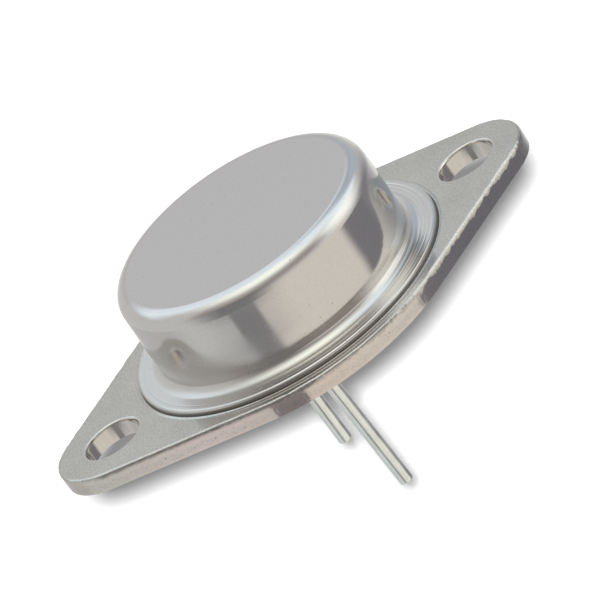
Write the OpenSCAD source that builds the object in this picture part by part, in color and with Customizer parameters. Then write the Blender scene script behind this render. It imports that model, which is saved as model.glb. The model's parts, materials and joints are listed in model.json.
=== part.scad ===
// Power transistor in a two-lead metal can.
// A blanked header plate carries the drawn cap, two leads in glass seals, and under the cap
// a copper heat spreader with the silicon die, its contact combs and its bond wires.
// The origin is the centre of the plate's seating face. +Z runs up through the cap,
// X runs from mounting hole to mounting hole, and the emitter lead is on the -Y side.

/* [Header plate] */
// Distance between the two mounting holes
hole_pitch = 30.15; // [29.6:0.05:31]
// Diameter of the mounting holes
hole_d = 4.1; // [3.6:0.05:4.4]
// Rounding of the upper rim of the mounting holes
hole_rim_r = 0.12; // [0.05:0.01:0.25]
// Thickness of the plate
plate_t = 1.3; // [1:0.05:2]
// Width of the plate across its round middle
plate_w = 25.45; // [24.8:0.05:26.6]
// Radius of the plate's two rounded ends
end_r = 4.24; // [3.8:0.02:5]
// Rounding of the plate's upper edge, where the blanking punch drew the metal down
edge_r = 0.25; // [0.1:0.01:0.4]

/* [Cap] */
// Height of the cap above the plate
cap_h = 6.85; // [6:0.05:9]
// Outer diameter of the cap where its wall meets the top bend
cap_d = 19.4; // [18.8:0.05:19.8]
// Lean of the cap's wall, in degrees, wider at the foot
cap_draft = 0.5; // [0.25:0.25:2]
// Outer radius of the bend round the cap's flat top
cap_bend_r = 1.17; // [0.9:0.01:2]
// Radius of the hollow bend where the wall turns out into the brim
foot_r = 1; // [0.6:0.05:1.2]
// Thickness of the drawn sheet
sheet_t = 0.4; // [0.3:0.02:0.6]
// Diameter of the brim
brim_d = 23.2; // [22.8:0.05:24]
// Rounding of the brim's upper edge
brim_edge_r = 0.18; // [0.05:0.01:0.25]

/* [Leads and seals] */
// Diameter of the leads
lead_d = 1; // [0.9:0.01:1.1]
// Distance between the leads
lead_pitch = 10.92; // [10.6:0.02:11.2]
// Distance of the leads from the plate's middle, towards the -X hole
lead_offset = 1.8; // [1.4:0.05:2.2]
// Length of the leads below the seating face
lead_len = 12; // [8:0.1:14]
// Rounding of the lead tips
lead_tip_r = 0.16; // [0.05:0.01:0.3]
// Lean of the emitter lead below the plate, in degrees, as handling left it
emitter_lean = 3; // [0.5:0.25:6]
// Lean of the base lead below the plate, in degrees, as handling left it
base_lean = 1.4; // [0.5:0.1:6]
// Radius of the slight bend that makes a lead lean
lean_bend_r = 4; // [2:0.5:8]
// Depth below the seating face at which that bend starts
lean_start = 0.4; // [0.2:0.05:1]
// Height of the leads' inner posts above the plate
post_h = 2; // [1.4:0.1:3]
// Diameter of the flattened head on each post
head_d = 1.8; // [1.5:0.05:2.2]
// Thickness of that head
head_t = 0.35; // [0.2:0.05:0.5]
// Rounding of that head's upper edge
head_edge_r = 0.12; // [0.05:0.01:0.18]
// Diameter of the glass seals
seal_d = 3; // [2.4:0.05:3.4]
// Depth of the hollow that the glass drew into between lead and plate
seal_dip = 0.14; // [0.05:0.01:0.25]

/* [Chip and its mounting] */
// Length of the copper heat spreader, along X
spreader_l = 9; // [7:0.1:11]
// Width of the heat spreader, along Y
spreader_w = 6.6; // [5.8:0.1:7]
// Thickness of the heat spreader
spreader_t = 0.9; // [0.5:0.05:1.2]
// Radius of the heat spreader's corners
spreader_corner_r = 0.8; // [0.3:0.1:1.5]
// Thickness of the braze under the heat spreader
braze_t = 0.08; // [0.04:0.01:0.15]
// How far the braze flows out round the heat spreader
braze_flash = 0.15; // [0.05:0.05:0.3]
// Side of the square silicon die
die_w = 4.4; // [3.6:0.1:5]
// Thickness of the die
die_t = 0.26; // [0.2:0.01:0.4]
// Depth of the groove etched round the die's raised middle
mesa_h = 0.08; // [0.04:0.01:0.12]
// Width of that groove
mesa_w = 0.2; // [0.1:0.02:0.3]
// Thickness of the solder under the die
solder_t = 0.06; // [0.03:0.01:0.12]
// How far the solder flows out round the die
solder_flash = 0.12; // [0.05:0.01:0.2]

/* [Contacts and wires] */
// Thickness of the contact metal on the die
contact_t = 0.02; // [0.01:0.005:0.04]
// Bare rim between the contact metal and the edge of the die's raised middle
contact_rim = 0.12; // [0.05:0.01:0.2]
// Width of the bar that each comb's fingers grow from
bus_w = 0.9; // [0.8:0.05:1]
// Fingers of the emitter comb; the base comb has one fewer
finger_count = 6; // [3:1:8]
// Gap between the emitter and base metal
finger_gap = 0.1; // [0.05:0.01:0.14]
// Diameter of the emitter wires
emitter_wire_d = 0.38; // [0.3:0.01:0.42]
// Distance between the emitter wires on the die
emitter_wire_pitch = 1.6; // [1.3:0.1:2]
// Distance between the emitter wires on the post's head
emitter_head_pitch = 0.8; // [0.7:0.05:0.9]
// Diameter of the base wire
base_wire_d = 0.3; // [0.2:0.01:0.38]
// Rise of the wires' arch above the line between their ends
wire_rise = 1.3; // [0.9:0.1:1.8]

/* [Hidden] */
$fn = 96;
fine_fn = 40;                    // wires and other small rounds
slack = 0.01;                    // how far a cutter, or a piece that joins another, runs on

// The plate's outline: a round middle and two round ends, joined by their common tangents.
mid_r = plate_w/2;
hole_x = hole_pitch/2;
tangent_a = acos((mid_r - end_r)/hole_x);
tangent_l = hole_x*sin(tangent_a);
seat_z = plate_t;                // where the cap and the chip's stack stand

// The cap's outer section, from the top bend down to the brim.
cap_top_z = seat_z + cap_h;
bend_x = cap_d/2 - cap_bend_r*cos(cap_draft);
bend_z = cap_top_z - cap_bend_r;
foot_z = seat_z + sheet_t + foot_r;
wall_top = [cap_d/2, bend_z + cap_bend_r*sin(cap_draft)];
foot_x = wall_top.x + (wall_top.y - foot_z)*tan(cap_draft) + foot_r/cos(cap_draft);

// Heights of the stack under the cap.
spreader_z = seat_z + braze_t;
solder_z = spreader_z + spreader_t;
die_z = solder_z + solder_t;
contact_z = die_z + die_t;
pad_z = contact_z + contact_t;
post_z = seat_z + post_h;

lead_r = lead_d/2;
seal_r = seal_d/2;
seal_land = 0.06;                // flat glass left beside the lead and beside the plate
bend_swell = 0.002;              // how far a lead's bend stands proud of its straight lengths

// The contact combs fill a square on the die's raised middle.
comb_w = die_w - 2*mesa_w - 2*contact_rim;
finger_pitch = (comb_w + finger_gap)/(2*finger_count - 1);
finger_w = finger_pitch - finger_gap;
bus_y = comb_w/2 - bus_w/2;

// A wedge bond presses the wire's end into a flat foot, sized in wire diameters.
foot_l_share = 1.9;
foot_w_share = 1.3;
foot_h_share = 0.45;
heel_h_share = 0.6;              // the heel, where the wire bends up out of its foot
heel_r_share = 0.56;

NICKEL = [0.74, 0.73, 0.71];
SEAL_GLASS = [0.16, 0.22, 0.24];
COPPER = [0.78, 0.48, 0.33];
SOLDER = [0.6, 0.6, 0.6];
SILICON = [0.3, 0.31, 0.35];
ALUMINIUM = [0.85, 0.85, 0.86];

// Square corner left over by a quarter round of radius r, its sharp corner at the origin.
module corner_waste(r) {
    difference() {
        translate([-r, -r]) square(r + slack);
        translate([-r, -r]) circle(r);
    }
}

// A disc on the seating face whose upper edge is rounded.
module rolled_disc(r) {
    rotate_extrude() difference() {
        square([r, plate_t]);
        translate([r, plate_t]) corner_waste(edge_r);
    }
}

// The part of the plate between the middle and one end, with its two straight edges rounded.
module rolled_web() {
    c = [cos(tangent_a), sin(tangent_a)];
    mid_touch = mid_r*c;
    end_touch = [hole_x, 0] + end_r*c;
    difference() {
        linear_extrude(plate_t) polygon([
            [0, 0], mid_touch, end_touch, [hole_x, 0],
            [end_touch.x, -end_touch.y], [mid_touch.x, -mid_touch.y]]);
        for (side = [0, 1]) mirror([0, side, 0])
            rotate([0, 0, tangent_a]) translate([mid_r, slack, plate_t]) rotate([90, 0, 0])
                linear_extrude(tangent_l + 2*slack) corner_waste(edge_r);
    }
}

// A mounting hole's cutter, wider at the rounded upper rim.
module mounting_hole() {
    translate([0, 0, -slack]) cylinder(d = hole_d, h = plate_t + 2*slack);
    rotate_extrude() translate([hole_d/2, plate_t]) mirror([1, 0]) corner_waste(hole_rim_r);
}

// Places its children at both leads: the emitter's at -Y, then the base's at +Y.
module at_lead(side) {
    translate([-lead_offset, side*lead_pitch/2, 0]) children();
}

module header_plate() {
    color(NICKEL) difference() {
        union() {
            rolled_disc(mid_r);
            for (side = [0, 1]) mirror([side, 0, 0]) {
                translate([hole_x, 0, 0]) rolled_disc(end_r);
                rolled_web();
            }
        }
        for (side = [-1, 1]) {
            translate([side*hole_x, 0, 0]) mounting_hole();
            at_lead(side) translate([0, 0, -slack]) cylinder(r = seal_r, h = plate_t + 2*slack);
        }
    }
}

// Half-section of the cap's outside, or of its hollow when inset by the sheet's thickness.
module cap_section(inset) {
    n = [cos(cap_draft), sin(cap_draft)];
    bend = [bend_x, bend_z];
    foot = [foot_x, foot_z];
    bend_touch = bend + (cap_bend_r - inset)*n;
    foot_touch = foot - (foot_r + inset)*n;
    floor_z = foot_z - foot_r - inset - slack;
    square([bend_x, cap_top_z - inset]);
    translate(bend) circle(cap_bend_r - inset);
    polygon([[0, floor_z], [0, bend_z], bend, bend_touch, foot_touch, [foot_touch.x, floor_z]]);
    difference() {
        polygon([foot_touch, [foot_touch.x - slack, floor_z], [foot_x, floor_z], foot]);
        translate(foot) circle(foot_r + inset);
    }
}

// The brim's solid disc, before the cap's hollow is taken out of it.
module brim_disc() {
    rotate_extrude() difference() {
        translate([0, seat_z]) square([brim_d/2, sheet_t]);
        translate([brim_d/2, seat_z + sheet_t]) corner_waste(brim_edge_r);
    }
}

module cap() {
    color(NICKEL) difference() {
        union() {
            intersection() {
                rotate_extrude() cap_section(0);
                translate([0, 0, seat_z]) cylinder(d = brim_d, h = cap_h);
            }
            brim_disc();
        }
        rotate_extrude() cap_section(sheet_t);
    }
}

// Glass between lead and plate, with a shallow ring-shaped hollow in both faces.
module seal() {
    half_w = (seal_r - lead_r)/2 - seal_land;
    dip_r = (half_w*half_w + seal_dip*seal_dip)/(2*seal_dip);
    rotate_extrude() difference() {
        translate([lead_r, 0]) square([seal_r - lead_r, plate_t]);
        for (z = [seal_dip - dip_r, plate_t - seal_dip + dip_r])
            translate([(seal_r + lead_r)/2, z]) circle(dip_r);
    }
}

module emitter_seal() { color(SEAL_GLASS) at_lead(-1) seal(); }
module base_seal() { color(SEAL_GLASS) at_lead(1) seal(); }

// Half-section of a round bar that ends in a rounded tip at z = 0 and runs up to z = len.
module tipped_bar(r, len, tip_r) {
    rotate_extrude() {
        translate([0, tip_r]) square([r, len - tip_r]);
        square([r - tip_r, len]);
        translate([r - tip_r, tip_r]) circle(tip_r, $fn = fine_fn);
    }
}

// A lead: straight post through the seal with a flattened head, then leaning towards +X.
module lead(lean) {
    lean_x = lean_bend_r*(1 - cos(lean));
    lean_z = -lean_start - lean_bend_r*sin(lean);
    lean_l = (lead_len + lean_z)/cos(lean);
    translate([0, 0, -lean_start - slack])
        cylinder(r = lead_r, h = lean_start + post_z + slack);
    translate([0, 0, post_z]) mirror([0, 0, 1]) tipped_bar(head_d/2, head_t, head_edge_r);
    translate([lean_bend_r, 0, -lean_start]) rotate([90, 0, 0]) rotate([0, 0, 180])
        rotate_extrude(angle = lean) translate([lean_bend_r, 0]) circle(lead_r + bend_swell);
    translate([lean_x, 0, lean_z]) rotate([0, -lean, 0]) translate([0, 0, -lean_l])
        tipped_bar(lead_r, lean_l + slack, lead_tip_r);
}

module emitter_lead() { color(NICKEL) at_lead(-1) lead(emitter_lean); }
module base_lead() { color(NICKEL) at_lead(1) lead(base_lean); }

// A plate of the given size with round corners, centred on Z.
module rounded_plate(size, r, t) {
    linear_extrude(t) {
        square([size.x - 2*r, size.y], center = true);
        square([size.x, size.y - 2*r], center = true);
        for (x = [-1, 1], y = [-1, 1])
            translate([x*(size.x/2 - r), y*(size.y/2 - r)]) circle(r);
    }
}

module spreader_braze() {
    color(SOLDER) translate([0, 0, seat_z])
        rounded_plate([spreader_l, spreader_w] + 2*braze_flash*[1, 1],
            spreader_corner_r + braze_flash, braze_t);
}

module heat_spreader() {
    color(COPPER) translate([0, 0, spreader_z])
        rounded_plate([spreader_l, spreader_w], spreader_corner_r, spreader_t);
}

module die_solder() {
    color(SOLDER) translate([0, 0, solder_z])
        rounded_plate((die_w + 2*solder_flash)*[1, 1], solder_flash, solder_t);
}

// The die, with the raised middle that the etched groove leaves.
module transistor_die() {
    color(SILICON) translate([0, 0, die_z]) linear_extrude(die_t - mesa_h)
        square(die_w, center = true);
    color(SILICON) translate([0, 0, die_z]) linear_extrude(die_t)
        square(die_w - 2*mesa_w, center = true);
}

// A comb of contact metal: a bar along the side that faces its lead, and fingers from it.
module comb(side, count) {
    finger_l = comb_w/2 + bus_y - bus_w - finger_gap;    // from the middle of its own bar
    translate([0, 0, contact_z]) linear_extrude(contact_t) {
        translate([0, side*bus_y]) square([comb_w, bus_w], center = true);
        for (i = [0:count - 1])
            translate([(i - (count - 1)/2)*2*finger_pitch, side*(bus_y - finger_l/2)])
                square([finger_w, finger_l], center = true);
    }
}

module emitter_contact() { color(ALUMINIUM) comb(-1, finger_count); }
module base_contact() { color(ALUMINIUM) comb(1, finger_count - 1); }

// One end of a bonded wire: a flat foot centred on the origin, with the wire leaving towards +X.
module wire_end(d) {
    rounded_plate([foot_l_share*d, foot_w_share*d], foot_w_share*d/2 - slack, foot_h_share*d);
    translate([wire_out(d), 0, heel_h_share*d]) sphere(heel_r_share*d, $fn = fine_fn);
}

// Where the round wire leaves its foot, from the foot's middle.
function wire_out(d) = (foot_l_share - 1)*d/2;

// A bonded wire: an arch of round wire between two flat feet, centred on the given points.
module bond_wire(from, to, d) {
    span = norm([to.x - from.x, to.y - from.y]);
    run = span - 2*wire_out(d);
    lift = to.z - from.z;
    chord = norm([run, lift]);
    arch_r = (chord*chord/4 + wire_rise*wire_rise)/(2*wire_rise);
    half_a = asin(chord/2/arch_r);
    tilt = atan2(lift, run);
    centre = [span/2, heel_h_share*d + lift/2] + (arch_r - wire_rise)*[sin(tilt), -cos(tilt)];
    translate(from) rotate([0, 0, atan2(to.y - from.y, to.x - from.x)]) {
        rotate([90, 0, 0]) translate(centre) rotate([0, 0, 90 + tilt - half_a])
            rotate_extrude(angle = 2*half_a, $fn = fine_fn) translate([arch_r, 0]) circle(d/2);
        wire_end(d);
        translate([span, 0, lift]) rotate([0, 0, 180]) wire_end(d);
    }
}

module emitter_wire(side) {
    bond_wire([side*emitter_wire_pitch/2, -bus_y, pad_z],
        [side*emitter_head_pitch/2 - lead_offset, -lead_pitch/2, post_z], emitter_wire_d);
}

module emitter_wire_left() { color(ALUMINIUM) emitter_wire(-1); }
module emitter_wire_right() { color(ALUMINIUM) emitter_wire(1); }
module base_wire() {
    color(ALUMINIUM) bond_wire([0, bus_y, pad_z], [-lead_offset, lead_pitch/2, post_z],
        base_wire_d);
}

header_plate();
cap();
emitter_seal();
base_seal();
emitter_lead();
base_lead();
spreader_braze();
heat_spreader();
die_solder();
transistor_die();
emitter_contact();
base_contact();
emitter_wire_left();
emitter_wire_right();
base_wire();
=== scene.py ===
import json
import math

import bmesh
import bpy
from mathutils import Matrix, Vector, noise


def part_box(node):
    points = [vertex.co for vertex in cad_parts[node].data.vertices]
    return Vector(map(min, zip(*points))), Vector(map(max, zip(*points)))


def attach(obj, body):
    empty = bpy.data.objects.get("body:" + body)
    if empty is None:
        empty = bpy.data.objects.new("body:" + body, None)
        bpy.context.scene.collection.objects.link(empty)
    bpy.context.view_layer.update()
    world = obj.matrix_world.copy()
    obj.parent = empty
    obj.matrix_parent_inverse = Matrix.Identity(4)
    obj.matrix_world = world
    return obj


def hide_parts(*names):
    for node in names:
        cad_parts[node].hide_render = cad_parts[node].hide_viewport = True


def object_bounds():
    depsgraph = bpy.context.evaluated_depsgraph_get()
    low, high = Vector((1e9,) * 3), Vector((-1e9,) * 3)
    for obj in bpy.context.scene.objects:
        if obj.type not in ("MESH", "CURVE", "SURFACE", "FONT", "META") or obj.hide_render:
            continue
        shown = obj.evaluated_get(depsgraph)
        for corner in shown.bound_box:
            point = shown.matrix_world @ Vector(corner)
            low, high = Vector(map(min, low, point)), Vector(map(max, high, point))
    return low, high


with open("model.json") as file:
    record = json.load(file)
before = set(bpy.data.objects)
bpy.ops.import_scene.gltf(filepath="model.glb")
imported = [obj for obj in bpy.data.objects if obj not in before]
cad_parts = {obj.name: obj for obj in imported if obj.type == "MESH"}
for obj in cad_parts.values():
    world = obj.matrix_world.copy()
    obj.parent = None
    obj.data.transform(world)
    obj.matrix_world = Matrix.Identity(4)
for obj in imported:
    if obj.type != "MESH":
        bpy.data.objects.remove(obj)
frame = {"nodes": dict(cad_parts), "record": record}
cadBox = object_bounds()
nodes = frame["nodes"]
mm = 0.001


def linear(hexText, strength=1.0):
    # sRGB hex to the linear colour that shader sockets take, times a strength
    channels = [int(hexText[i:i + 2], 16) / 255 for i in (1, 3, 5)]
    return tuple((c / 12.92 if c <= 0.04045 else ((c + 0.055) / 1.055) ** 2.4) * strength
                 for c in channels) + (1,)


def addNode(tree, kind, settings=None, inputs=None):
    # One node: settings are its own properties, inputs are values or other nodes' outputs.
    # An input of None keeps its default.
    node = tree.nodes.new(kind)
    for name, value in (settings or {}).items():
        if name == "stops":
            ramp = node.color_ramp
            while len(ramp.elements) < len(value):
                ramp.elements.new(0.5)
            for element, (position, colour) in zip(ramp.elements, value):
                element.position = position
                element.color = linear(colour)
        else:
            setattr(node, name, value)
    for name, value in (inputs or {}).items():
        if isinstance(value, bpy.types.NodeSocket):
            tree.links.new(value, node.inputs[name])
        elif value is not None:
            node.inputs[name].default_value = value
    return node


def newMaterial(name):
    material = bpy.data.materials.new(name)
    material.use_nodes = True
    material.node_tree.nodes.clear()
    return material, material.node_tree


def paint(nodeName, material):
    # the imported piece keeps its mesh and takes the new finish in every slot
    piece = nodes[nodeName]
    for slot in piece.material_slots:
        slot.material = material


print("camera")
camera = {
    "azimuth": -7.742,        # degrees, round from the near side
    "elevation": 24.703,
    "roll": -35.01,           # the long axis climbs to the upper right
    "distance": 1.6,          # metres, so the view is nearly parallel
    "sensor": 36.0,
    "frameWidth": 39.928,     # millimetres that the picture is wide at the part
    "aimRight": 0.0721,       # millimetres from the origin to the middle of the picture
    "aimUp": 0.9135,
}
az = math.radians(camera["azimuth"])
el = math.radians(camera["elevation"])
roll = math.radians(camera["roll"])
back = Vector((math.sin(az) * math.cos(el), -math.cos(az) * math.cos(el), math.sin(el)))
level = (-back).cross(Vector((0, 0, 1))).normalized()
upright = level.cross(-back)
camRight = math.cos(roll) * level + math.sin(roll) * upright
camUp = -math.sin(roll) * level + math.cos(roll) * upright
cameraData = bpy.data.cameras.new("camera")
cameraObject = bpy.data.objects.new("camera", cameraData)
bpy.context.scene.collection.objects.link(cameraObject)
cameraData.sensor_width = camera["sensor"]
cameraData.lens = camera["sensor"] * camera["distance"] / mm / camera["frameWidth"]
aim = (camRight * camera["aimRight"] + camUp * camera["aimUp"]) * mm
cameraObject.matrix_world = Matrix.Translation(aim + back * camera["distance"]) @ Matrix(
    (camRight, camUp, back)).transposed().to_4x4()
bpy.context.scene.camera = cameraObject
bpy.context.scene.view_settings.view_transform = "Standard"

print("studio")
# What the bright metal mirrors: a grey room with softboxes, a window, cards and flags in it.
# Each patch lies over those before it: the azimuth and elevation of its middle, half its
# width and height, and how soft its sides and its top and bottom are, in degrees as seen
# from the part, then its colour and its strength.
studio = {
    "backdrop": "#FFFFFF",    # what the camera sees behind the part
    "ambient": 0.165,         # the level that matte faces are lit with
    "room": "#D3D4D3",
    "patches": [
        ("overhead softbox", 71, 90.7, 190, 28.7, 20, 40, "#FBFFF4", 1.36),
        ("light over the back wall", 56, 54, 76, 26, 45, 12, "#EBF8FF", 1.22),
        ("window", -14, 20.5, 23.4, 28, 40, 24, "#FBFFFA", 1.36),
        ("blue side wall", 53, 32, 21, 20, 21, 22, "#C0CBD6", 1.0),
        ("cream card in front", -70, -26, 58, 30.6, 26, 45, "#E7E3DA", 1.0),
        ("dark room in front", -112.5, 32.5, 65, 16, 29, 37, "#ABA39C", 1.0),
        ("left flag", -135, 5.4, 27.3, 28, 38, 6.3, "#868788", 1.0),
        ("foot of the left flag", -133.3, -37, 11.6, 17, 3, 9, "#8C8A8D", 1.0),
        ("grey table behind", 125, -38, 40, 17, 30, 6, "#C6C5C5", 1.0),
        ("right corner of the room", 19.5, -20, 23, 29.5, 45, 37, "#8E8C92", 1.0),
        ("right flag", -8.3, -38, 19.5, 18.8, 11, 5, "#868489", 1.0),
        ("white sweep behind", 77, -32, 18.5, 33, 12, 17, "#E9EAE6", 1.0),
    ],
}
world = bpy.data.worlds.new("studio")
bpy.context.scene.world = world
world.use_nodes = True
sky = world.node_tree
sky.nodes.clear()
direction = addNode(sky, "ShaderNodeTexCoord").outputs["Generated"]
height = addNode(sky, "ShaderNodeMath", {"operation": "ARCSINE"}, {
    0: addNode(sky, "ShaderNodeSeparateXYZ", None, {0: direction}).outputs["Z"]}).outputs[0]
seen = linear(studio["room"])
for (name, azimuth, elevation, halfWidth, halfHeight, softSides, softTop, colour,
     strength) in studio["patches"]:
    turned = addNode(sky, "ShaderNodeVectorRotate", {"rotation_type": "Z_AXIS"}, {
        "Vector": direction, "Angle": -math.radians(azimuth)}).outputs[0]
    flat = addNode(sky, "ShaderNodeSeparateXYZ", None, {0: turned})
    side = addNode(sky, "ShaderNodeMath", {"operation": "ARCTAN2"}, {
        0: flat.outputs["Y"], 1: flat.outputs["X"]}).outputs[0]
    side = addNode(sky, "ShaderNodeMath", {"operation": "ABSOLUTE"}, {0: side}).outputs[0]
    rise = addNode(sky, "ShaderNodeMath", {"operation": "SUBTRACT"}, {
        0: height, 1: math.radians(elevation)}).outputs[0]
    rise = addNode(sky, "ShaderNodeMath", {"operation": "ABSOLUTE"}, {0: rise}).outputs[0]
    masks = []
    for value, half, soft in ((side, halfWidth, softSides), (rise, halfHeight, softTop)):
        masks.append(addNode(sky, "ShaderNodeMapRange", {"interpolation_type": "SMOOTHSTEP"}, {
            "Value": value, "From Min": math.radians(half + soft / 2),
            "From Max": math.radians(half - soft / 2)}).outputs[0])
    mask = addNode(sky, "ShaderNodeMath", {"operation": "MULTIPLY"}, {
        0: masks[0], 1: masks[1]}).outputs[0]
    seen = addNode(sky, "ShaderNodeMixRGB", {"label": name}, {
        0: mask, 1: seen, 2: linear(colour, strength)}).outputs[0]
path = addNode(sky, "ShaderNodeLightPath")
mirrored = addNode(sky, "ShaderNodeMath", {"operation": "MAXIMUM"}, {
    0: path.outputs["Is Glossy Ray"], 1: path.outputs["Is Transmission Ray"]}).outputs[0]
plain = (studio["ambient"],) * 3 + (1,)
seen = addNode(sky, "ShaderNodeMixRGB", None, {0: mirrored, 1: plain, 2: seen}).outputs[0]
seen = addNode(sky, "ShaderNodeMixRGB", None, {
    0: path.outputs["Is Camera Ray"], 1: seen, 2: linear(studio["backdrop"])}).outputs[0]
background = addNode(sky, "ShaderNodeBackground", None, {"Color": seen})
addNode(sky, "ShaderNodeOutputWorld", None, {"Surface": background.outputs[0]})

# One soft key lamp close above the camera's line. The paper lies well below the part, so the
# shadow hugs the part's outline and peeps out along its lower edges.
key = {
    "above": 0.86,            # degrees off the camera's line
    "left": 0.81,
    "spread": 1.72,           # degrees across, which is how soft the shadow is
    "strength": 4.2,
}
lampData = bpy.data.lights.new("key", "SUN")
lampData.energy = key["strength"]
lampData.angle = math.radians(key["spread"])
lamp = bpy.data.objects.new("key", lampData)
bpy.context.scene.collection.objects.link(lamp)
lampBack = (back + camUp * math.tan(math.radians(key["above"]))
            - camRight * math.tan(math.radians(key["left"]))).normalized()
lamp.rotation_euler = lampBack.to_track_quat("Z", "Y").to_euler()
lamp.visible_glossy = False

print("floor")
floor = {
    "size": 3.0,              # metres
    "gap": 18,                # millimetres below the lead tips
    "colour": "#F2F2F2",
    "cameraLift": 1.85,
}
reach = floor["size"] / 2
floorZ = cadBox[0].z - floor["gap"] * mm
floorMesh = bpy.data.meshes.new("floor")
floorMesh.from_pydata([(x * reach, y * reach, floorZ)
                       for x, y in ((-1, -1), (1, -1), (1, 1), (-1, 1))], [], [(0, 1, 2, 3)])
floorObject = bpy.data.objects.new("floor", floorMesh)
bpy.context.scene.collection.objects.link(floorObject)
floorObject.visible_glossy = False
# Matte white paper, lifted to white for the camera so that its shadow still shows. It is
# clear from below, so that the underside of the part can be looked at.
paper, tree = newMaterial("matte white paper")
path = addNode(tree, "ShaderNodeLightPath")
lift = addNode(tree, "ShaderNodeMixRGB", None, {
    0: path.outputs["Is Camera Ray"], 1: linear(floor["colour"]),
    2: linear(floor["colour"], floor["cameraLift"])}).outputs[0]
paperShade = addNode(tree, "ShaderNodeBsdfDiffuse", None, {"Color": lift})
below = addNode(tree, "ShaderNodeNewGeometry").outputs["Backfacing"]
clear = addNode(tree, "ShaderNodeBsdfTransparent")
paperShade = addNode(tree, "ShaderNodeMixShader", None, {
    0: below, 1: paperShade.outputs[0], 2: clear.outputs[0]})
addNode(tree, "ShaderNodeOutputMaterial", None, {"Surface": paperShade.outputs[0]})
floorMesh.materials.append(paper)


def pieceFrom(mesh, name, nodeName, materials, sharpAbove):
    # a finished bmesh becomes a piece that stands for a packed one and rides with it
    bmesh.ops.recalc_face_normals(mesh, faces=mesh.faces)
    data = bpy.data.meshes.new(name)
    mesh.to_mesh(data)
    mesh.free()
    data.shade_smooth()
    data.set_sharp_from_angle(angle=math.radians(sharpAbove))
    for material in materials:
        data.materials.append(material)
    piece = bpy.data.objects.new(name, data)
    bpy.context.scene.collection.objects.link(piece)
    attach(piece, "root")
    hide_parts(nodeName)
    return piece


def joinRings(mesh, lower, upper, finish=0):
    # one band of quads between two rings of as many vertices
    for i in range(len(lower)):
        j = (i + 1) % len(lower)
        mesh.faces.new((lower[i], lower[j], upper[j], upper[i])).material_index = finish


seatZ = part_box("cap")[0].z / mm       # the plate's top face, in millimetres

print("header plate")
plate = {
    "midRadius": 12.725,
    "endRadius": 4.24,
    "step": 0.09,             # length of one facet along the edge
    "rollIn": 0.2,            # the punch drew the top edge down over this much of the face
    "rollDown": 0.22,         # and over this much of the side,
    "rollSwing": 0.13,        # more of it on the side that the punch leaned to
    "leanTo": (0.8, -0.6),
    "rollLeast": 0.04,
    "rollSteps": 10,
    "jag": 0.7,               # how far that depth wanders, as a share of it
    "jagLengths": (0.8, 0.3, 0.12),
    "tear": 0.03,             # how far the torn zone below draws in
    "tearTop": 0.62,
    "tearWander": 0.15,
    "tearSteps": 5,
    "grit": 0.006,            # height and size of the torn zone's grit
    "gritSize": 0.16,
    "landIn": 0.004,          # how far the burnished land draws in at its lower edge
    "burr": 0.03,
    "flatRim": 0.03,          # a last narrow ring that keeps the top face shading flat
    "holeRim": (0.14, 0.2),   # how far a hole's upper rim is rounded, outwards and down
    "holeRimSteps": 8,
    "holeFacets": 160,
    "sealRadius": 1.5,
    "sealFacets": 96,
    "bead": 0.04,             # metal that the weld raised round the cap's brim,
    "beadOut": 0.17,          # its crest this far outside the brim
    "beadHalf": 0.17,
    "seatIn": (0.3, 0.05),    # two flat rings under the brim
    "seatReach": 0.6,         # and how far the finely cut ring runs outside it
    "seatSteps": 24,
    "seatFacets": 288,
    "sharpAbove": 32,         # degrees between faces
}
mounts = {mount["name"]: mount for mount in frame["record"]["mounts"]}
holeX = mounts["mounting_hole_right"]["pos_m"][0] / mm
holeRadius = mounts["mounting_hole_right"]["dims"]["r_mm"]
endRadius = min(plate["endRadius"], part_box("header_plate")[1].x / mm - holeX)
tangentAngle = math.acos((plate["midRadius"] - endRadius) / holeX)


def outlinePlan():
    # The plate's outline as (centre x, radius, angle) for every vertex: a round middle and
    # two round ends. Between two arcs the same steps run along their common tangent.
    arcs = []
    for centre, radius, start, turn in (
            (0, plate["midRadius"], tangentAngle, math.pi - 2 * tangentAngle),
            (-holeX, endRadius, math.pi - tangentAngle, 2 * tangentAngle),
            (0, plate["midRadius"], math.pi + tangentAngle, math.pi - 2 * tangentAngle),
            (holeX, endRadius, -tangentAngle, 2 * tangentAngle)):
        count = round(radius * turn / plate["step"])
        arcs.append([(centre, radius, start + turn * i / count) for i in range(count + 1)])
    straight = round(holeX * math.sin(tangentAngle) / plate["step"])
    plan = []
    for arc, following in zip(arcs, arcs[1:] + arcs[:1]):
        plan += [(point, point, 0.0) for point in arc]
        plan += [(arc[-1], following[0], i / straight) for i in range(1, straight)]
    return plan


def outlinePoint(plan, inset):
    # the two arc ends that a vertex lies between, both drawn in by the inset
    ends = [Vector((centre + (radius - inset) * math.cos(angle),
                    (radius - inset) * math.sin(angle)))
            for centre, radius, angle in plan[:2]]
    return ends[0].lerp(ends[1], plan[2])


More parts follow.
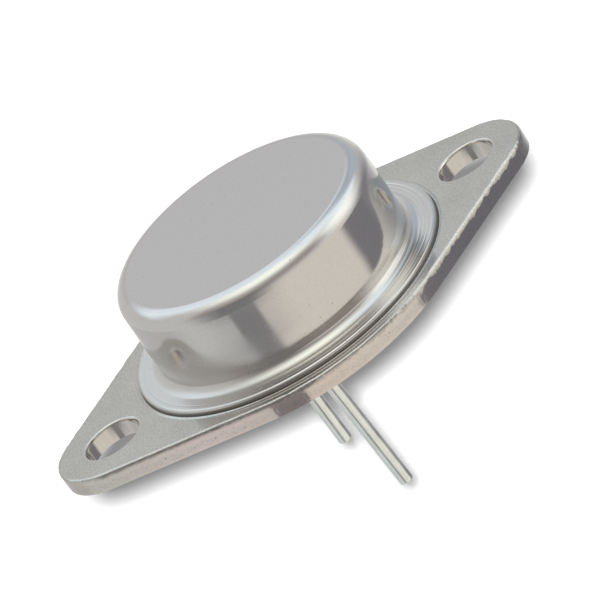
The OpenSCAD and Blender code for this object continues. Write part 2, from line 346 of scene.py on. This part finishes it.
def sheared(plan):
    # The blanked edge at one vertex, from the seating face up: burr, torn zone, the smooth
    # land that the punch burnished, and the die roll that falls away to the top face. Each
    # wave of the noise takes a slice of its own.
    spot = outlinePoint(plan, 0)
    wander = sum(noise.noise(Vector((spot.x, spot.y, 7 * k)) / length) / (k + 1)
                 for k, length in enumerate(plate["jagLengths"]))
    leaning = spot.normalized().dot(Vector(plate["leanTo"]))
    roll = (plate["rollDown"] + plate["rollSwing"] * leaning) * (1 + plate["jag"] * wander)
    rollStart = seatZ - max(roll, plate["rollLeast"])
    tearTop = plate["tearTop"] + plate["tearWander"] * wander
    edge = [(plate["burr"], 0.0)]
    for k in range(1, plate["tearSteps"]):
        part = k / plate["tearSteps"]
        rough = abs(noise.noise(Vector((spot.x, spot.y, k * 0.3)) / plate["gritSize"]))
        edge.append((plate["tear"] * (1 - part) + plate["landIn"] + plate["grit"] * rough,
                     tearTop * part))
    edge += [(plate["landIn"], tearTop), (0.0, (tearTop + rollStart) / 2)]
    for k in range(plate["rollSteps"] + 1):
        turn = math.pi / 2 * k / plate["rollSteps"]
        edge.append((plate["rollIn"] * (1 - math.cos(turn)),
                     rollStart + (seatZ - rollStart) * math.sin(turn)))
    edge.append((plate["rollIn"] + plate["flatRim"], seatZ))
    return [(*outlinePoint(plan, inset), z) for inset, z in edge]


def roundHole(centre, radius, rim, facets):
    # a hole's wall from the seating face up, with the upper rim rounded outwards and down
    rimOut, rimDown = rim
    steps = plate["holeRimSteps"] if rimOut else 0
    wall = [(0.0, 0.0)]
    for k in range(steps + 1):
        turn = math.pi / 2 * (k / steps if steps else 1)
        wall.append((rimOut * (1 - math.cos(turn)), seatZ - rimDown * (1 - math.sin(turn))))
    wall.append((rimOut + plate["flatRim"], seatZ))
    return [[(centre[0] + (radius + out) * math.cos(2 * math.pi * i / facets),
              centre[1] + (radius + out) * math.sin(2 * math.pi * i / facets), z)
             for out, z in wall] for i in range(facets)]


def seatRing():
    # rings of the top face round the cap's brim, over the low bead that the weld raised
    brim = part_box("cap")[1].x / mm
    profile = [(brim - inside, seatZ) for inside in plate["seatIn"]]
    for k in range(plate["seatSteps"] + 1):
        out = plate["seatReach"] * k / plate["seatSteps"]
        away = min(abs(out - plate["beadOut"]) / plate["beadHalf"], 1)
        profile.append((brim + out, seatZ + plate["bead"] * (1 + math.cos(math.pi * away)) / 2))
    profile.append((brim + plate["seatReach"] + plate["flatRim"], seatZ))
    count = plate["seatFacets"]
    return [[(r * math.cos(2 * math.pi * i / count), r * math.sin(2 * math.pi * i / count), z)
             for r, z in profile] for i in range(count)]


def ringsOf(mesh, wall):
    # the columns of a wall become rings of vertices
    return [[mesh.verts.new(Vector(column[k]) * mm) for column in wall]
            for k in range(len(wall[0]))]


def fillBetween(mesh, loops):
    # a flat face inside the first loop, with the other loops as its holes
    border = [mesh.edges.get((loop[i - 1], loop[i])) for loop in loops
              for i in range(len(loop))]
    bmesh.ops.triangle_fill(mesh, use_beauty=True, edges=border)


def buildPlate(material, holeMaterial):
    mesh = bmesh.new()
    walls = [[sheared(plan) for plan in outlinePlan()]]
    for x in (-holeX, holeX):
        walls.append(roundHole((x, 0), holeRadius, plate["holeRim"], plate["holeFacets"]))
    for seal in ("emitter_seal", "base_seal"):
        centre = (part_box(seal)[0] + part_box(seal)[1]) / 2 / mm
        walls.append(roundHole(centre, plate["sealRadius"], (0, 0), plate["sealFacets"]))
    bottoms, tops = [], []
    for wall in walls:
        rings = ringsOf(mesh, wall)
        for lower, upper in zip(rings, rings[1:]):
            joinRings(mesh, lower, upper, 0 if wall is walls[0] else 1)
        bottoms.append(rings[0])
        tops.append(rings[-1])
    seat = ringsOf(mesh, seatRing())
    for inner, outer in zip(seat, seat[1:]):
        joinRings(mesh, inner, outer)
    fillBetween(mesh, bottoms)
    fillBetween(mesh, tops[:3] + [seat[-1]])
    fillBetween(mesh, tops[3:] + [seat[0]])
    return pieceFrom(mesh, "header_plate_blank", "header_plate",
                     (material, holeMaterial), plate["sharpAbove"])


# Satin nickel plate over blanked steel: it mirrors the room through a fine grain with small
# dark specks. The side shows the gritty metal of the punch's cut, duller and pinkish.
headerFinish = {
    "patterns": {             # size in millimetres and detail
        "grain": (0.16, 2),
        "cloud": (3.5, 3),
        "speck": (0.22, 1),
        "grit": (0.12, 3),
    },
    "topTones": [(0.35, "#CAC6C2"), (0.65, "#D3CFCA")],
    "topGrain": [(0.35, "#E9E8E6"), (0.65, "#FFFFFF")],
    "sideRun": (-18, 16),     # the side's tone drifts along x over these millimetres
    "sideTones": [(0.02, "#DCD9D0"), (0.2, "#F0DEDA"), (0.4, "#E0D3CB"), (0.65, "#DFD8D4"),
                  (0.84, "#C6C6C6")],
    "sideGrain": [(0.3, "#F4F2F0"), (0.5, "#FFFFFF")],
    "sideSlope": (0.12, 0.02),    # the normal's rise where the side's look sets in and is full,
    "topSlope": (0.97, 0.999),    # and the same for the top's
    "pitLevels": (0.745, 0.79),
    "pitColour": "#8A827C",
    "topRough": (0.09, 0.17),
    "edgeRough": (0.06, 0.12),
    "grainDepth": 0.0009,
    "gritDepth": 0.0008,
}
headerNickel, tree = newMaterial("satin nickel plate over blanked steel")
place = addNode(tree, "ShaderNodeTexCoord").outputs["Object"]
fields = {}
for name, (size, detail) in headerFinish["patterns"].items():
    fields[name] = addNode(tree, "ShaderNodeTexNoise", None, {
        "Vector": place, "Scale": 1 / (size * mm), "Detail": detail}).outputs["Fac"]
along = addNode(tree, "ShaderNodeMapRange", None, {
    "Value": addNode(tree, "ShaderNodeSeparateXYZ", None, {0: place}).outputs["X"],
    "From Min": headerFinish["sideRun"][0] * mm,
    "From Max": headerFinish["sideRun"][1] * mm}).outputs[0]
tones = []
for drift, driftTones, grainTones in ((fields["cloud"], "topTones", "topGrain"),
                                      (along, "sideTones", "sideGrain")):
    drifting = addNode(tree, "ShaderNodeValToRGB", {
        "stops": headerFinish[driftTones]}, {0: drift}).outputs[0]
    grained = addNode(tree, "ShaderNodeValToRGB", {
        "stops": headerFinish[grainTones]}, {0: fields["grain"]}).outputs[0]
    tones.append(addNode(tree, "ShaderNodeMixRGB", {"blend_type": "MULTIPLY"}, {
        0: 1.0, 1: drifting, 2: grained}).outputs[0])
upward = addNode(tree, "ShaderNodeSeparateXYZ", None, {
    0: addNode(tree, "ShaderNodeNewGeometry").outputs["Normal"]}).outputs["Z"]
upward = addNode(tree, "ShaderNodeMath", {"operation": "ABSOLUTE"}, {0: upward}).outputs[0]
limits = {}
for name, value, (start, full) in (("side", upward, headerFinish["sideSlope"]),
                                   ("top", upward, headerFinish["topSlope"]),
                                   ("pits", fields["speck"], headerFinish["pitLevels"])):
    limits[name] = addNode(tree, "ShaderNodeMapRange", None, {
        "Value": value, "From Min": start, "From Max": full}).outputs[0]
tone = addNode(tree, "ShaderNodeMixRGB", None, {
    0: limits["side"], 1: tones[0], 2: tones[1]}).outputs[0]
tone = addNode(tree, "ShaderNodeMixRGB", None, {
    0: limits["pits"], 1: tone, 2: linear(headerFinish["pitColour"])}).outputs[0]
roughs = []
for low, high in (headerFinish["edgeRough"], headerFinish["topRough"]):
    roughs.append(addNode(tree, "ShaderNodeMapRange", None, {
        "Value": fields["grain"], "To Min": low, "To Max": high}).outputs[0])
rough = addNode(tree, "ShaderNodeMixRGB", None, {
    0: limits["top"], 1: roughs[0], 2: roughs[1]}).outputs[0]
grit = addNode(tree, "ShaderNodeMath", {"operation": "MULTIPLY"}, {
    0: fields["grit"], 1: limits["side"]}).outputs[0]
relief = None
for height, depth in ((fields["grain"], "grainDepth"), (grit, "gritDepth")):
    relief = addNode(tree, "ShaderNodeBump", None, {
        "Height": height, "Distance": headerFinish[depth] * mm, "Strength": 1.0,
        "Normal": relief}).outputs[0]
metal = addNode(tree, "ShaderNodeBsdfPrincipled", None, {
    "Base Color": tone, "Metallic": 1.0, "Roughness": rough, "Normal": relief})
addNode(tree, "ShaderNodeOutputMaterial", None, {"Surface": metal.outputs[0]})

# The holes' walls are burnished by the punch and mirror the room clearly, with faint lines
# that it dragged down them.
holeFinish = {
    "line": 0.25,             # millimetres
    "lineStretch": (1, 1, 0.15),
    "tones": [(0.3, "#D5D0CA"), (0.7, "#E0DDD9")],
    "rough": (0.05, 0.13),
    "lineDepth": 0.0004,
}
holeNickel, tree = newMaterial("nickel plate over burnished hole wall")
place = addNode(tree, "ShaderNodeTexCoord").outputs["Object"]
drag = addNode(tree, "ShaderNodeMapping", None, {
    "Vector": place, "Scale": holeFinish["lineStretch"]}).outputs[0]
drag = addNode(tree, "ShaderNodeTexNoise", None, {
    "Vector": drag, "Scale": 1 / (holeFinish["line"] * mm), "Detail": 2}).outputs["Fac"]
tone = addNode(tree, "ShaderNodeValToRGB", {"stops": holeFinish["tones"]}, {0: drag}).outputs[0]
rough = addNode(tree, "ShaderNodeMapRange", None, {
    "Value": drag, "To Min": holeFinish["rough"][0], "To Max": holeFinish["rough"][1]}).outputs[0]
relief = addNode(tree, "ShaderNodeBump", None, {
    "Height": drag, "Distance": holeFinish["lineDepth"] * mm, "Strength": 1.0}).outputs[0]
metal = addNode(tree, "ShaderNodeBsdfPrincipled", None, {
    "Base Color": tone, "Metallic": 1.0, "Roughness": rough, "Normal": relief})
addNode(tree, "ShaderNodeOutputMaterial", None, {"Surface": metal.outputs[0]})
buildPlate(headerNickel, holeNickel)

print("cap")
cap = {
    "wallRadius": 9.7,        # where the wall meets the top bend
    "draft": 0.5,             # degrees
    "bendRadius": 1.17,
    "bendSteps": 28,
    "flatRim": 0.05,          # a last narrow ring that keeps the top shading flat
    "sheet": 0.4,
    "wallSteps": 4,
    "neckTop": 4.14,          # below this height the wall draws in a little towards its foot
    "neckDraft": -3.1,
    "neckSteps": 16,
    "footOut": 0.74,          # how far the hollow foot runs out and up
    "footUp": 0.57,
    "footFullness": 1.6,      # 2 would be a true ellipse, less is flatter
    "footSteps": 24,
    "landGroove": 11.07,      # faint ring left by the welding electrode
    "grooveDepth": 0.006,
    "grooveHalfWidth": 0.12,
    "grooveSteps": 16,
    "edgeRadius": 0.2,
    "undercut": 0.05,         # the sheared rim leans in above the weld
    "insideSteps": 10,
    "insideFoot": 0.3,        # height over the sheet at which the inside wall starts
    "facets": 256,
    "sharpAbove": 32,         # degrees between faces
}


def arcPoints(centre, radius, start, end, steps):
    # part of a circle in the section, its angles in degrees from outward to up
    return [(centre[0] + radius * math.cos(math.radians(start + (end - start) * k / steps)),
             centre[1] + radius * math.sin(math.radians(start + (end - start) * k / steps)))
            for k in range(steps + 1)]


def capSection():
    # half-section of the drawn cap: down its outside, under the brim and up its inside
    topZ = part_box("cap")[1].z / mm
    brimZ = seatZ + cap["sheet"]
    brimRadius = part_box("cap")[1].x / mm
    draft = math.radians(cap["draft"])
    bend = (cap["wallRadius"] - cap["bendRadius"] * math.cos(draft), topZ - cap["bendRadius"])
    outside = [(0.0, topZ), (bend[0] / 2, topZ), (bend[0] - cap["flatRim"], topZ)]
    outside += arcPoints(bend, cap["bendRadius"], 90, cap["draft"], cap["bendSteps"])
    r, z = outside[-1]
    for k in range(1, cap["wallSteps"] + 1):      # straight wall
        drop = (z - cap["neckTop"]) * k / cap["wallSteps"]
        outside.append((r + drop * math.tan(draft), z - drop))
    drop = (cap["neckTop"] - brimZ - cap["footUp"]) / cap["neckSteps"]
    for k in range(cap["neckSteps"]):             # the neck, its lean changing evenly
        part = (k + 0.5) / cap["neckSteps"]
        lean = cap["draft"] + (cap["neckDraft"] - cap["draft"]) * part
        r, z = outside[-1]
        outside.append((r + drop * math.tan(math.radians(lean)), z - drop))
    neck = outside[-1][0]
    power = 2 / cap["footFullness"]
    for k in range(1, cap["footSteps"] + 1):      # the hollow foot
        turn = math.pi / 2 * k / cap["footSteps"]
        outside.append((neck + cap["footOut"] * (1 - math.cos(turn) ** power),
                        brimZ + cap["footUp"] * (1 - math.sin(turn) ** power)))
    for k in range(cap["grooveSteps"] + 1):       # the brim's land with its groove
        away = 2 * k / cap["grooveSteps"] - 1
        outside.append((cap["landGroove"] + away * cap["grooveHalfWidth"],
                        brimZ - cap["grooveDepth"] * (1 + math.cos(math.pi * away)) / 2))
    edge = (brimRadius - cap["edgeRadius"], brimZ - cap["edgeRadius"])
    outside += arcPoints(edge, cap["edgeRadius"], 90, 0, cap["insideSteps"])
    inside = [(brimRadius - cap["undercut"], seatZ), (cap["wallRadius"], seatZ),
              (cap["wallRadius"] - cap["sheet"], brimZ + cap["insideFoot"])]
    inside += arcPoints(bend, cap["bendRadius"] - cap["sheet"], cap["draft"], 90,
                        cap["insideSteps"])
    inside.append((0.0, topZ - cap["sheet"]))
    return outside + inside


def buildCap(material):
    mesh = bmesh.new()
    turns = [2 * math.pi * i / cap["facets"] for i in range(cap["facets"])]
    previous = None
    for r, z in capSection():
        if r == 0:
            ring = [mesh.verts.new((0, 0, z * mm))]
        else:
            ring = [mesh.verts.new((r * math.cos(turn) * mm, r * math.sin(turn) * mm, z * mm))
                    for turn in turns]
        if previous and len(previous) == len(ring):
            joinRings(mesh, previous, ring)
        elif previous:
            pole, rim = sorted((previous, ring), key=len)
            for i in range(len(rim)):
                mesh.faces.new((pole[0], rim[i - 1], rim[i]))
        previous = ring
    return pieceFrom(mesh, "drawn_cap", "cap", (material,), cap["sharpAbove"])


# Nickel plate over drawn steel: the top keeps a greyer satin skin, the wall is polished by
# the die and mirrors the room, the foot has faint rings from spinning, and the sheared rim
# above the weld is dull. That rim is painted darker as painted shade in the corner against
# the plate, and over a short stretch the foot's rings are painted darker as painted shade.
capFinish = {
    "patterns": {             # size in millimetres and detail
        "grain": (0.16, 2),
        "cloud": (4, 3),
        "speck": (0.2, 1),
    },
    "tones": [(0.3, "#D8D5D3"), (0.7, "#DDDAD7")],
    "rough": (0.07, 0.13),
    # What is measured, the millimetres at which a look sets in and is full, its least share.
    "fades": {
        "skin": ("top", -0.12, -0.01, 0),
        # seam: the rim's dark colour here is painted shade in the corner against the plate; its
        # dullness is real
        "seam": ("seat", 0.24, 0.14, 0),
        "rim": ("radius", 11.3, 11.4, 0),
        "haze": ("seat", 4.2, 2.6, 0),        # one side of the lower wall is wiped dull
        "wiped": ("x", -1, -7, 0),
        "foot": ("radius", 9.72, 9.8, 0),
        "kept": ("x", -1, 6, 0.1),            # the seam side has kept its rings best,
        "grime": ("x", 4, 7, 0),              # and over a short stretch their low parts are painted darker, as painted shade
        "clean": ("x", 9.4, 8, 0),
    },
    "skinTint": "#F5F2F5",
    "pitLevels": (0.765, 0.81),
    "pitColour": "#96908B",
    # painted shade: the colour of the brim's rim in the corner against the plate
    "seamShadeColour": "#8E8A88",
    "seamRough": 0.4,
    "hazeRough": 0.2,
    "ringSize": 0.24,
    # painted shade: the tones that darken the foot's rings on the right
    "ringShadeTones": [(0.42, "#B9B0A8"), (0.56, "#F3F0EC")],
    "ringDepth": 0.02,
    "cloudDepth": 0.0006,
    "grainDepth": 0.00018,
}
capNickel, tree = newMaterial("nickel plate over drawn steel")
place = addNode(tree, "ShaderNodeTexCoord").outputs["Object"]
fields = {}
for name, (size, detail) in capFinish["patterns"].items():
    fields[name] = addNode(tree, "ShaderNodeTexNoise", None, {
        "Vector": place, "Scale": 1 / (size * mm), "Detail": detail}).outputs["Fac"]
axes = addNode(tree, "ShaderNodeSeparateXYZ", None, {0: place})
level = addNode(tree, "ShaderNodeCombineXYZ", None, {
    "X": axes.outputs["X"], "Y": axes.outputs["Y"]}).outputs[0]
radius = addNode(tree, "ShaderNodeVectorMath", {"operation": "LENGTH"}, {
    0: level}).outputs["Value"]
measures = {                  # each measure and the millimetres that it is counted from
    "x": (axes.outputs["X"], 0),
    "radius": (radius, 0),
    "seat": (axes.outputs["Z"], seatZ),
    "top": (axes.outputs["Z"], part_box("cap")[1].z / mm),
}
fades = {}
for name, (along, start, full, least) in capFinish["fades"].items():
    value, origin = measures[along]
    fades[name] = addNode(tree, "ShaderNodeMapRange", None, {
        "Value": value, "From Min": (origin + start) * mm, "From Max": (origin + full) * mm,
        "To Min": least}).outputs[0]
for name, other in (("seam", "rim"), ("haze", "wiped"), ("foot", "kept"),
                    ("grime", "clean"), ("grime", "foot")):
    fades[name] = addNode(tree, "ShaderNodeMath", {"operation": "MULTIPLY"}, {
        0: fades[name], 1: fades[other]}).outputs[0]
pits = addNode(tree, "ShaderNodeMapRange", None, {
    "Value": fields["speck"], "From Min": capFinish["pitLevels"][0],
    "From Max": capFinish["pitLevels"][1]}).outputs[0]
across = addNode(tree, "ShaderNodeMath", {"operation": "SUBTRACT"}, {
    0: radius, 1: axes.outputs["Z"]}).outputs[0]
rings = addNode(tree, "ShaderNodeTexNoise", {"noise_dimensions": "1D"}, {
    "W": across, "Scale": 1 / (capFinish["ringSize"] * mm), "Detail": 1}).outputs["Fac"]
# painted shade on the foot's rings over a short stretch on the right
darkLows = addNode(tree, "ShaderNodeValToRGB", {
    "stops": capFinish["ringShadeTones"]}, {0: rings}).outputs[0]
tone = addNode(tree, "ShaderNodeValToRGB", {
    "stops": capFinish["tones"]}, {0: fields["grain"]}).outputs[0]
for blend, share, tint in (("MULTIPLY", fades["skin"], linear(capFinish["skinTint"])),
                           ("MIX", pits, linear(capFinish["pitColour"])),
                           # painted shade darkens the brim's rim next to the plate
                           ("MIX", fades["seam"], linear(capFinish["seamShadeColour"])),
                           # painted shade darkens the foot's rings on the right
                           ("MULTIPLY", fades["grime"], darkLows)):
    tone = addNode(tree, "ShaderNodeMixRGB", {"blend_type": blend}, {
        0: share, 1: tone, 2: tint}).outputs[0]
rough = addNode(tree, "ShaderNodeMapRange", None, {
    "Value": fields["grain"], "To Min": capFinish["rough"][0],
    "To Max": capFinish["rough"][1]}).outputs[0]
rough = addNode(tree, "ShaderNodeMath", {"operation": "MULTIPLY_ADD"}, {
    0: fades["haze"], 1: capFinish["hazeRough"], 2: rough}).outputs[0]
rough = addNode(tree, "ShaderNodeMixRGB", None, {
    0: fades["seam"], 1: rough, 2: (capFinish["seamRough"],) * 3 + (1,)}).outputs[0]
rings = addNode(tree, "ShaderNodeMath", {"operation": "MULTIPLY"}, {
    0: rings, 1: fades["foot"]}).outputs[0]
relief = None
for height, depth in ((rings, "ringDepth"), (fields["cloud"], "cloudDepth"),
                      (fields["grain"], "grainDepth")):
    relief = addNode(tree, "ShaderNodeBump", None, {
        "Height": height, "Distance": capFinish[depth] * mm, "Strength": 1.0,
        "Normal": relief}).outputs[0]
metal = addNode(tree, "ShaderNodeBsdfPrincipled", None, {
    "Base Color": tone, "Metallic": 1.0, "Roughness": rough, "Normal": relief})
addNode(tree, "ShaderNodeOutputMaterial", None, {"Surface": metal.outputs[0]})
buildCap(capNickel)

patternUse = {                # how the finishes below read their clouds and lines
    "cloudLevels": (0.3, 0.7),
    "lowLineLevels": (0.3, 0.6),     # the low parts of the lines are a little darker
    "lowLineTone": 0.93,
}


def drawnFinish(name, look):
    # A finish whose tone and gloss drift in clouds and whose fine relief runs in lines. Its
    # sizes are in millimetres, and the stretch says how far a line runs along each axis.
    material, tree = newMaterial(name)
    place = addNode(tree, "ShaderNodeTexCoord").outputs["Object"]
    along = addNode(tree, "ShaderNodeMapping", None, {
        "Vector": place, "Scale": tuple(1 / factor for factor in look["stretch"])}).outputs[0]
    lines = addNode(tree, "ShaderNodeTexNoise", None, {
        "Vector": along, "Scale": 1 / (look["line"] * mm), "Detail": 2}).outputs["Fac"]
    cloud = addNode(tree, "ShaderNodeTexNoise", None, {
        "Vector": place, "Scale": 1 / (look["cloud"] * mm), "Detail": 4}).outputs["Fac"]
    tone = addNode(tree, "ShaderNodeValToRGB", {"stops": look["tones"]}, {0: cloud}).outputs[0]
    # the low parts of the lines are made a little darker
    darkLows = addNode(tree, "ShaderNodeMapRange", None, {
        "Value": lines, "From Min": patternUse["lowLineLevels"][0],
        "From Max": patternUse["lowLineLevels"][1], "To Min": patternUse["lowLineTone"]}).outputs[0]
    tone = addNode(tree, "ShaderNodeVectorMath", {"operation": "SCALE"}, {
        0: tone, "Scale": darkLows}).outputs[0]
    rough = addNode(tree, "ShaderNodeMapRange", None, {
        "Value": cloud, "From Min": patternUse["cloudLevels"][0],
        "From Max": patternUse["cloudLevels"][1],
        "To Min": look["rough"][0], "To Max": look["rough"][1]}).outputs[0]
    relief = addNode(tree, "ShaderNodeBump", None, {
        "Height": lines, "Distance": look["depth"] * mm, "Strength": 1.0}).outputs[0]
    surface = addNode(tree, "ShaderNodeBsdfPrincipled", None, {
        "Base Color": tone, "Metallic": look["metallic"], "Roughness": rough,
        "Normal": relief})
    addNode(tree, "ShaderNodeOutputMaterial", None, {"Surface": surface.outputs[0]})
    return material


print("leads and seals")
# Bright tin over drawn wire: whiter and softer than the nickel, with fine lines drawn along.
leads = {
    "tones": [(0.3, "#EDF1EC"), (0.6, "#FAFEFA")],
    "metallic": 1.0,
    "rough": (0.16, 0.28),
    "cloud": 1.2,
    "line": 0.12,
    "depth": 0.0015,
    "stretch": (1, 1, 16),
}
tin = drawnFinish("bright tin over drawn wire", leads)
# Compression glass, fused in place: nearly black green, glossy, slightly uneven.
seals = {
    "tones": [(0.35, "#1F2B28"), (0.7, "#3A4A44")],
    "metallic": 0.0,
    "rough": (0.06, 0.14),
    "cloud": 0.5,
    "line": 0.6,
    "depth": 0.01,
    "stretch": (1, 1, 1),
}
glass = drawnFinish("fused green sealing glass", seals)
for name, finish in (("emitter_lead", tin), ("base_lead", tin),
                     ("emitter_seal", glass), ("base_seal", glass)):
    paint(name, finish)

print("inside")
# Rolled copper, clouded by the brazing heat, with rolling lines along x.
spreader = {
    "tones": [(0.3, "#B9714E"), (0.55, "#DB9270"), (0.75, "#E6A888")],
    "metallic": 1.0,
    "rough": (0.24, 0.42),
    "cloud": 1.5,
    "line": 0.08,
    "depth": 0.002,
    "stretch": (20, 1, 1),
}
copper = drawnFinish("rolled copper clouded by brazing", spreader)
# Silver braze that crept out under the copper: pale yellow, wavy and half glossy.
brazing = {
    "tones": [(0.3, "#C9BE9C"), (0.7, "#E6DFC6")],
    "metallic": 1.0,
    "rough": (0.2, 0.4),
    "cloud": 0.6,
    "line": 0.3,
    "depth": 0.012,
    "stretch": (1, 1, 1),
}
braze = drawnFinish("silver braze fillet", brazing)
# Soft solder that froze in grains: grey and satin.
soldering = {
    "tones": [(0.3, "#A9AAAC"), (0.7, "#CDCECD")],
    "metallic": 1.0,
    "rough": (0.28, 0.5),
    "cloud": 0.35,
    "line": 0.12,
    "depth": 0.006,
    "stretch": (1, 1, 1),
}
solder = drawnFinish("soft solder frozen in grains", soldering)
# Silicon under thin oxide: a dark blue-violet mirror whose tint drifts.
die = {
    "tones": [(0.3, "#3B4468"), (0.5, "#5A5486"), (0.7, "#46668A")],
    "metallic": 0.6,
    "rough": (0.07, 0.14),
    "cloud": 1.1,
    "line": 0.05,
    "depth": 0.0001,
    "stretch": (1, 1, 1),
}
silicon = drawnFinish("oxidised silicon", die)
# Evaporated aluminium: white, satin, with a very fine grain.
contacts = {
    "tones": [(0.3, "#DCDDDD"), (0.7, "#EFEFED")],
    "metallic": 1.0,
    "rough": (0.2, 0.34),
    "cloud": 0.3,
    "line": 0.04,
    "depth": 0.0008,
    "stretch": (1, 1, 1),
}
contactMetal = drawnFinish("evaporated aluminium", contacts)
# Drawn aluminium wire: white and bright, lines along its run.
wires = {
    "tones": [(0.3, "#D3D4D4"), (0.7, "#EAEAE8")],
    "metallic": 1.0,
    "rough": (0.14, 0.26),
    "cloud": 0.4,
    "line": 0.05,
    "depth": 0.001,
    "stretch": (1, 8, 1),
}
wireMetal = drawnFinish("drawn aluminium bond wire", wires)
for name, finish in (("heat_spreader", copper), ("spreader_braze", braze),
                     ("die_solder", solder), ("transistor_die", silicon),
                     ("emitter_contact", contactMetal), ("base_contact", contactMetal),
                     ("emitter_wire_left", wireMetal), ("emitter_wire_right", wireMetal),
                     ("base_wire", wireMetal)):
    paint(name, finish)
